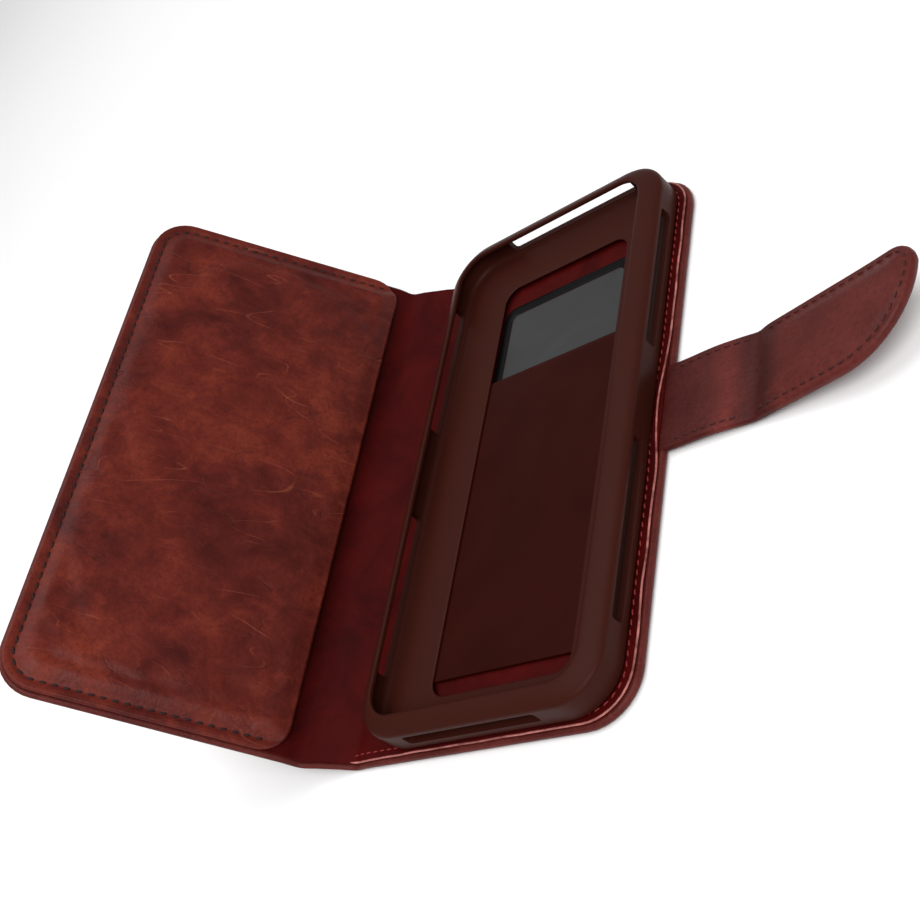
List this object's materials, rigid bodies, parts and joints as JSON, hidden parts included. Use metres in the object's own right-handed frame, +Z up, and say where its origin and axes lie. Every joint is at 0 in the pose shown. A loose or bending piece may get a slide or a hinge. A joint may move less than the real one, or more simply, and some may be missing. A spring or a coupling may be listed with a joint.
{
  "type": "phone wallet case",
  "caption": "Open folding leather wallet case with a flexible phone tray, a padded front cover and a magnetic closing strap.",
  "frame": {"origin": "middle of the back cover's outer face, on the surface that the open case lies on", "axes": "+X from the spine towards the strap, +Y towards the top of the phone, +Z up out of the phone tray"},
  "size_m": [0.2233, 0.168, 0.0813],
  "materials": {
    "outer_leather": "smooth waxed red-brown leather",
    "panel_leather": "aged, mottled red-brown leather with fine pale scratches",
    "lining": "matt dark red soft lining",
    "board": "grey-brown stiffening board",
    "foam": "thin padding",
    "tray_rubber": "smooth dark brown flexible plastic",
    "plate": "glossy dark brown",
    "black_plastic": "satin black",
    "grey_plastic": "smooth dark grey",
    "steel": "plain plated steel"
  },
  "bodies": {
    "back_cover": {"back_shell": "outer_leather", "back_board": "board", "back_lining": "lining", "strap_anchor": "outer_leather", "slide_base_frame": "black_plastic", "slide_base_pad": "grey_plastic"},
    "holder": {"phone_tray": "tray_rubber", "mounting_plate": "plate"},
    "spine": {"spine_shell": "outer_leather", "spine_board": "board", "spine_lining": "lining"},
    "flap": {"flap_shell": "outer_leather", "flap_board": "board", "striker_plate": "steel", "pocket_lining": "lining", "panel_board": "board", "panel_foam": "foam", "panel_leather": "panel_leather"},
    "strap_base": {"strap_base_outer": "outer_leather", "strap_base_lining": "outer_leather"},
    "strap_tip": {"strap_tip_outer": "outer_leather", "strap_tip_lining": "outer_leather", "strap_stiffener": "board", "magnet_near_fold": "steel", "magnet_near_tip": "steel"}
  },
  "joints": [
    {"name": "holder_slide", "type": "slide", "parent": "back_cover", "child": "holder", "axis": [0, 1, 0], "range_m": [0, 0.02]},
    {"name": "spine_fold", "type": "hinge", "parent": "back_cover", "child": "spine", "pos_m": [-0.0455, 0, 0.0015], "axis": [0, -1, 0], "range_deg": [-67.4, 22.6]},
    {"name": "flap_fold", "type": "hinge", "parent": "spine", "child": "flap", "pos_m": [-0.06166, 0, 0.00823], "axis": [0, -1, 0], "range_deg": [-55, 35]},
    {"name": "strap_base_fold", "type": "hinge", "parent": "back_cover", "child": "strap_base", "pos_m": [0.047, 0, 0.0016], "axis": [0, -1, 0], "range_deg": [0, 90]},
    {"name": "strap_tip_fold", "type": "hinge", "parent": "strap_base", "child": "strap_tip", "pos_m": [0.07, 0, 0.0016], "axis": [0, -1, 0], "range_deg": [-12, 78]}
  ]
}
